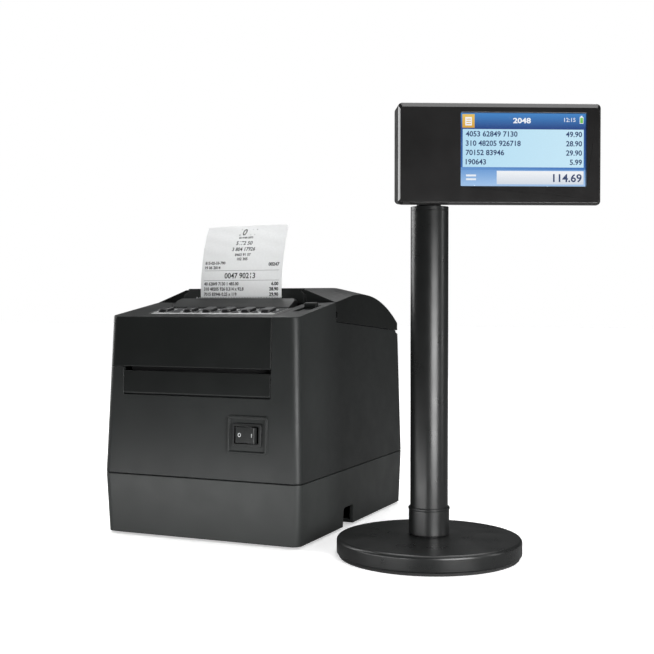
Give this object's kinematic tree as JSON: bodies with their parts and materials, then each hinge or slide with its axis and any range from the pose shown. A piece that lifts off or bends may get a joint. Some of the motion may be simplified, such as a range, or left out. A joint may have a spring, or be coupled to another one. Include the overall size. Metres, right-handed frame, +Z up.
{
  "type": "cash register",
  "caption": "Receipt printer cash register with hinged roll cover, keypad, service door and rocker switch, with a separate customer display on a pole",
  "frame": {"origin": "middle of the whole set's bounding box, on the surface that both units stand on", "axes": "+X right as seen by a person facing the printer, +Y from the front towards the back, +Z up"},
  "size_m": [0.3274, 0.23, 0.2814],
  "materials": {
    "case_charcoal": "fine moulded texture",
    "cover_black": "fine moulded texture",
    "switch_black": "satin",
    "key_black": "satin",
    "panel_silver": "printed film",
    "rubber": "matt",
    "steel": "brushed",
    "aluminium": "milled",
    "board": "solder mask",
    "port_black": "matt",
    "gear_white": "natural nylon",
    "pinion_brass": "machined",
    "paper": "thermal paper",
    "card": "plain",
    "stand_black": "semi-gloss",
    "ballast": "plain",
    "head_black": "fine moulded texture",
    "bezel_gloss": "polished",
    "lcd": "backlit screen",
    "lens": "clear"
  },
  "bodies": {
    "root": {"lower_case": "case_charcoal", "rubber_feet": "rubber", "case_screws": "steel", "main_board": "board", "memory_module": "port_black", "rear_ports": "port_black", "dc_inlet": "port_black", "upper_housing": "case_charcoal", "front_cover": "cover_black", "keypad_panel": "panel_silver", "keypad_board": "board", "cutter_cover": "cover_black", "tear_bar": "steel", "cover_hinge_pin": "steel", "stepper_motor": "steel", "print_head": "aluminium", "mechanism_frame": "steel", "roll_bucket": "cover_black", "paper_web": "paper", "receipt": "paper", "lever_pin": "steel", "door_pins": "steel", "card_slot": "port_black", "switch_body": "switch_black", "rocker_pin": "steel", "foot_pad": "rubber", "foot_disc": "stand_black", "foot_weight": "ballast", "foot_grommet": "rubber", "pole_collar": "stand_black", "display_pole": "stand_black"},
    "key_1": {"key_1": "key_black"},
    "key_2": {"key_2": "key_black"},
    "key_3": {"key_3": "key_black"},
    "key_4": {"key_4": "key_black"},
    "key_5": {"key_5": "key_black"},
    "key_6": {"key_6": "key_black"},
    "roll_cover": {"roll_cover": "cover_black"},
    "platen": {"platen_roller": "rubber", "platen_shaft": "steel", "platen_gear": "gear_white"},
    "idler": {"idler_gear": "gear_white"},
    "pinion": {"motor_pinion": "pinion_brass"},
    "paper_roll": {"paper_roll": "paper", "roll_core": "card"},
    "release_lever": {"release_lever": "cover_black"},
    "service_door": {"service_door": "cover_black"},
    "rocker": {"rocker": "switch_black"},
    "swivel": {"swivel_ring": "stand_black", "tilt_neck": "stand_black"},
    "head": {"tilt_pin": "steel", "head_shell": "head_black", "head_bezel": "bezel_gloss", "lcd_module": "lcd", "lcd_lens": "lens", "display_board": "board", "head_screws": "steel"}
  },
  "joints": [
    {"name": "key_1_press", "type": "slide", "parent": "root", "child": "key_1", "axis": [0, 0.1495, -0.9888], "range_m": [0, 0.0008], "stiffness_N_per_m": 400, "springref_m": -0.001},
    {"name": "key_2_press", "type": "slide", "parent": "root", "child": "key_2", "axis": [0, 0.1495, -0.9888], "range_m": [0, 0.0008], "stiffness_N_per_m": 400, "springref_m": -0.001},
    {"name": "key_3_press", "type": "slide", "parent": "root", "child": "key_3", "axis": [0, 0.1495, -0.9888], "range_m": [0, 0.0008], "stiffness_N_per_m": 400, "springref_m": -0.001},
    {"name": "key_4_press", "type": "slide", "parent": "root", "child": "key_4", "axis": [0, 0.1495, -0.9888], "range_m": [0, 0.0008], "stiffness_N_per_m": 400, "springref_m": -0.001},
    {"name": "key_5_press", "type": "slide", "parent": "root", "child": "key_5", "axis": [0, 0.1495, -0.9888], "range_m": [0, 0.0008], "stiffness_N_per_m": 400, "springref_m": -0.001},
    {"name": "key_6_press", "type": "slide", "parent": "root", "child": "key_6", "axis": [0, 0.1495, -0.9888], "range_m": [0, 0.0008], "stiffness_N_per_m": 400, "springref_m": -0.001},
    {"name": "roll_cover_open", "type": "hinge", "parent": "root", "child": "roll_cover", "pos_m": [-0.08919, 0.1115, 0.138], "axis": [-1, 0, 0], "range_deg": [0, 75]},
    {"name": "platen_spin", "type": "hinge", "parent": "roll_cover", "child": "platen", "pos_m": [-0.08919, -0.0108, 0.15], "axis": [1, 0, 0], "continuous": true},
    {"name": "idler_spin", "type": "hinge", "parent": "root", "child": "idler", "pos_m": [-0.08919, -0.01518, 0.13366], "axis": [1, 0, 0], "continuous": true},
    {"name": "pinion_spin", "type": "hinge", "parent": "root", "child": "pinion", "pos_m": [-0.08919, -0.02397, 0.12111], "axis": [1, 0, 0], "continuous": true},
    {"name": "paper_roll_spin", "type": "hinge", "parent": "root", "child": "paper_roll", "pos_m": [-0.08919, 0.043, 0.098], "axis": [1, 0, 0], "continuous": true},
    {"name": "release_lever_lift", "type": "hinge", "parent": "root", "child": "release_lever", "pos_m": [-0.02819, -0.04508, 0.15067], "axis": [1, 0, 0], "range_deg": [0, 20], "stiffness_Nm_per_rad": 0.03, "springref_deg": -17.19},
    {"name": "service_door_open", "type": "hinge", "parent": "root", "child": "service_door", "pos_m": [-0.08919, -0.07484, 0.09802], "axis": [1, 0, 0], "range_deg": [0, 80]},
    {"name": "rocker_tip", "type": "hinge", "parent": "root", "child": "rocker", "pos_m": [-0.05279, -0.07395, 0.0722], "axis": [0, 0.0447, 0.999], "range_deg": [0, 16]},
    {"name": "head_swivel", "type": "hinge", "parent": "root", "child": "swivel", "pos_m": [0.06461, -0.057, 0.219], "axis": [0, 0, 1], "range_deg": [-150, 150]},
    {"name": "head_tilt", "type": "hinge", "parent": "swivel", "child": "head", "pos_m": [0.06286, -0.0534, 0.232], "axis": [-0.8988, -0.4384, 0], "range_deg": [0, 30]}
  ],
  "couplings": [
    {"joint": "idler_spin", "follows": "platen_spin", "ratio": -0.61538},
    {"joint": "pinion_spin", "follows": "platen_spin", "ratio": 1.3333}
  ]
}
